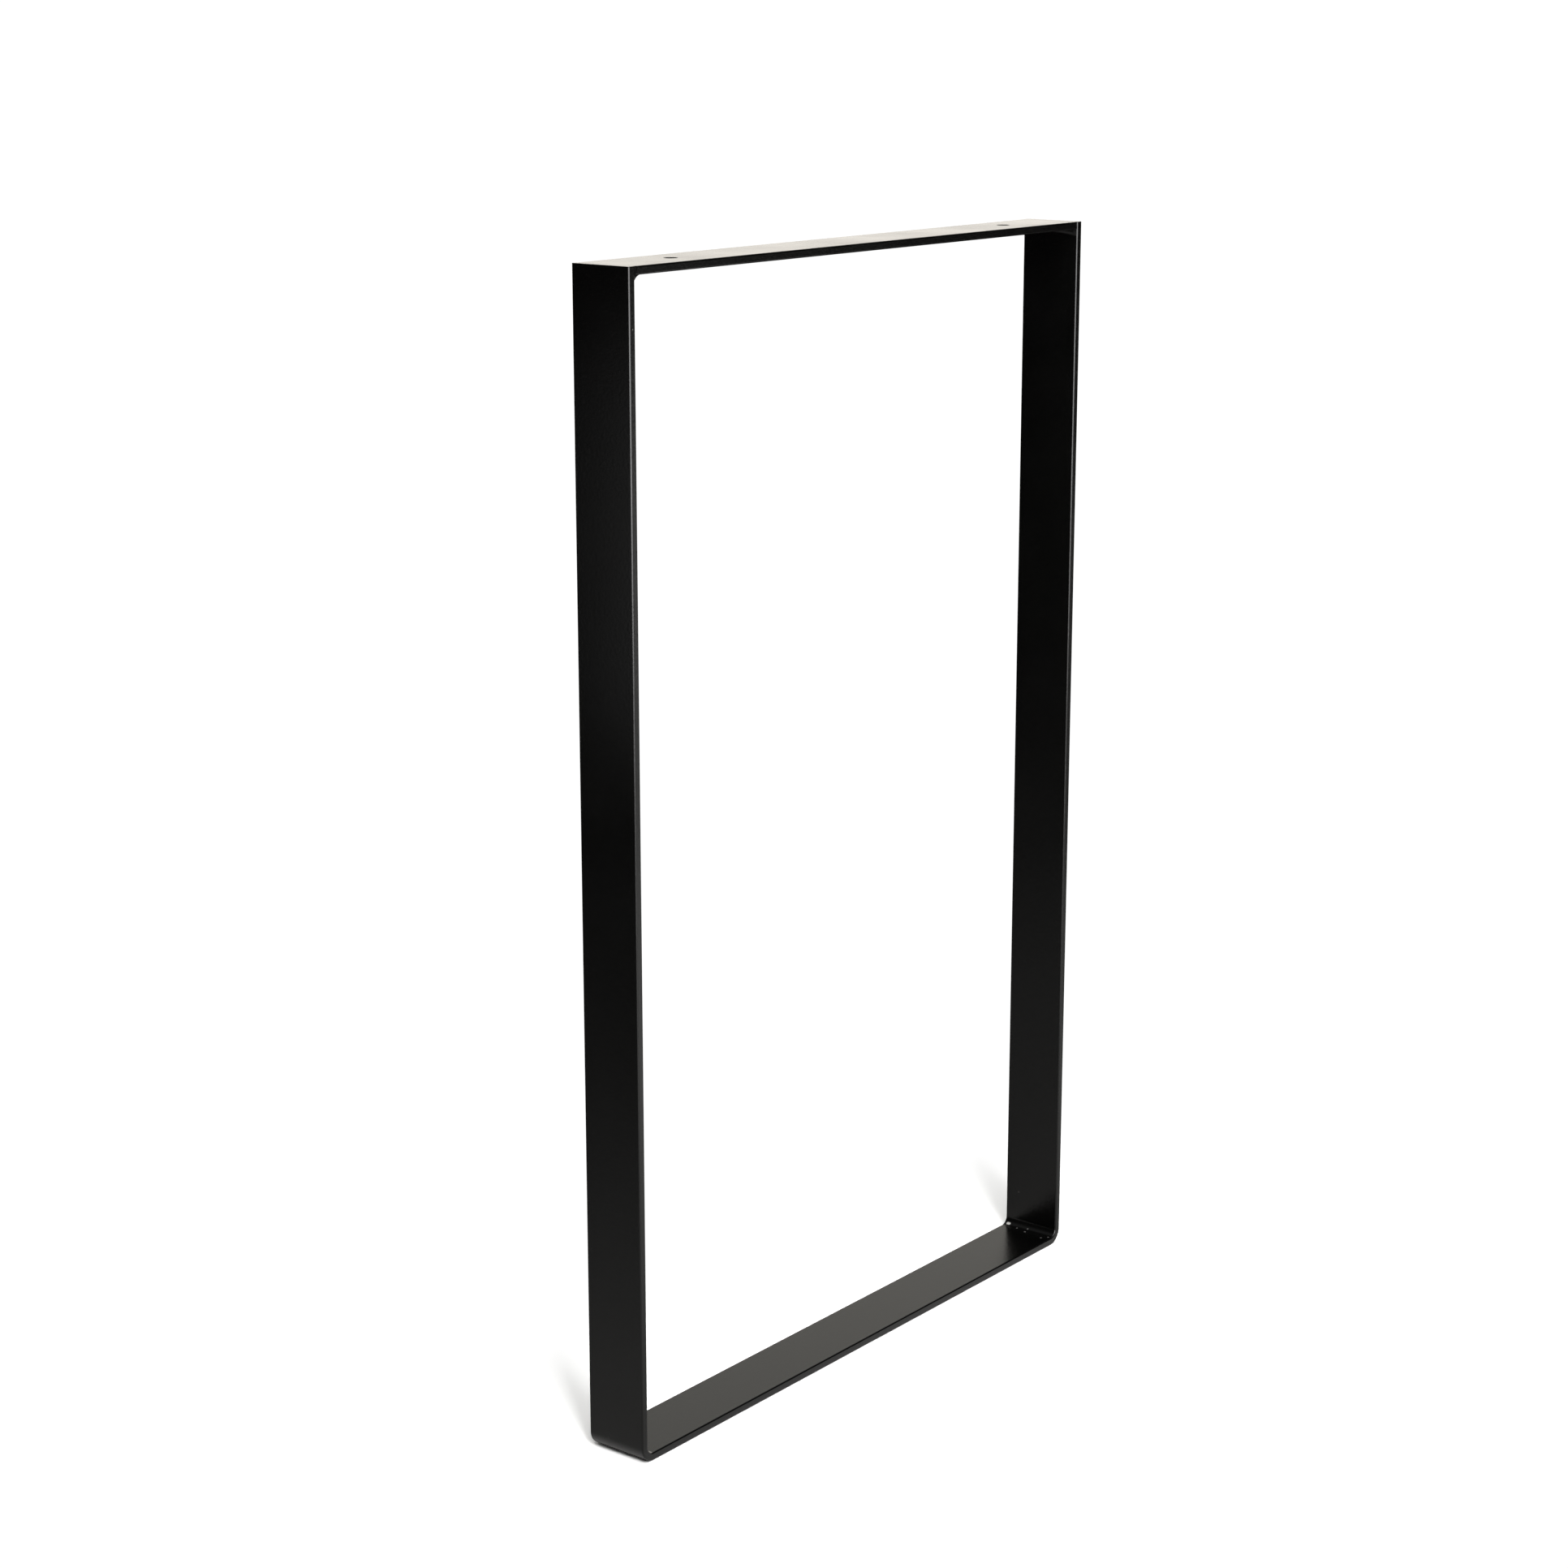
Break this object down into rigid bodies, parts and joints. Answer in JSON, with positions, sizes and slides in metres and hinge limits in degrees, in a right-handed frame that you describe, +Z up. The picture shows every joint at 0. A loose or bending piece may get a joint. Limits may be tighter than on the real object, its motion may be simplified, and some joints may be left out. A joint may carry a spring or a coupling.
{
  "type": "table leg frame",
  "caption": "Closed rectangular table leg of black-coated flat steel bar: a bent strip forms the uprights and floor rail, with a drilled top bar welded between them.",
  "frame": {"origin": "on the floor, under the middle of the floor rail", "axes": "+X along the frame's width, from the left upright to the right one; +Y across the flat bar, from its front edge to its back edge; +Z up"},
  "size_m": [0.45, 0.042, 0.71],
  "materials": {
    "black_powder_coat": "satin"
  },
  "bodies": {
    "root": {"bent_frame": "black_powder_coat", "top_bar": "black_powder_coat", "left_weld": "black_powder_coat", "right_weld": "black_powder_coat"}
  },
  "joints": []
}
